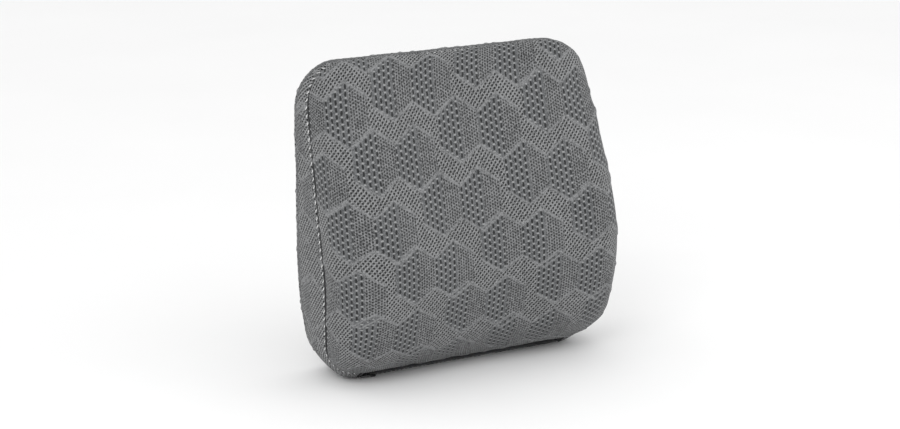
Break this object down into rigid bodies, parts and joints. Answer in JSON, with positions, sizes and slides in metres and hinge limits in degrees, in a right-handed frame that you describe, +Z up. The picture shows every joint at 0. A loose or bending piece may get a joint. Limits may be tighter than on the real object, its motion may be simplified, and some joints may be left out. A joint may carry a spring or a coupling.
{
  "type": "lumbar support cushion",
  "caption": "Upright lumbar support cushion: a moulded foam core, deepest below mid-height, in a knitted cover with a zip along the foot.",
  "frame": {"origin": "middle of the cushion's box at the foot, on the surface it stands on", "axes": "+X across the cushion to the right of someone who looks at its front, -Y the way the bulging front faces, +Z up the cushion"},
  "size_m": [0.34, 0.1324, 0.3259],
  "materials": {
    "cover_knit": "grey jacquard knit, matt",
    "seam_thread": "light grey polyester thread",
    "lining": "off-white stretch knit",
    "foam": "cream slow-recovery foam",
    "zip_tape": "dark grey woven tape",
    "zip_nylon": "black nylon",
    "zip_enamel": "black enamel"
  },
  "bodies": {
    "cushion": {"back_panel": "cover_knit", "border_strip": "cover_knit", "bottom_strip": "cover_knit", "foam_core": "foam", "front_panel": "cover_knit", "front_seam_cord": "seam_thread", "liner_back": "lining", "liner_front": "lining", "rear_seam_cord": "seam_thread", "zip_stop_left": "zip_nylon", "zip_stop_right": "zip_nylon", "zip_tape_front": "zip_tape", "zip_tape_rear": "zip_tape", "zip_teeth_front": "zip_nylon", "zip_teeth_rear": "zip_nylon"},
    "slider": {"zip_slider": "zip_enamel"},
    "pull": {"zip_pull": "zip_enamel"}
  },
  "joints": [
    {"name": "zip_slide", "type": "slide", "parent": "cushion", "child": "slider", "axis": [1, 0, 0], "range_m": [0, 0.2191]},
    {"name": "pull_swing", "type": "hinge", "parent": "slider", "child": "pull", "pos_m": [-0.1098, 0.00411, 0.00298], "axis": [0, -0.7926, 0.6097], "range_deg": [0, 170]}
  ]
}
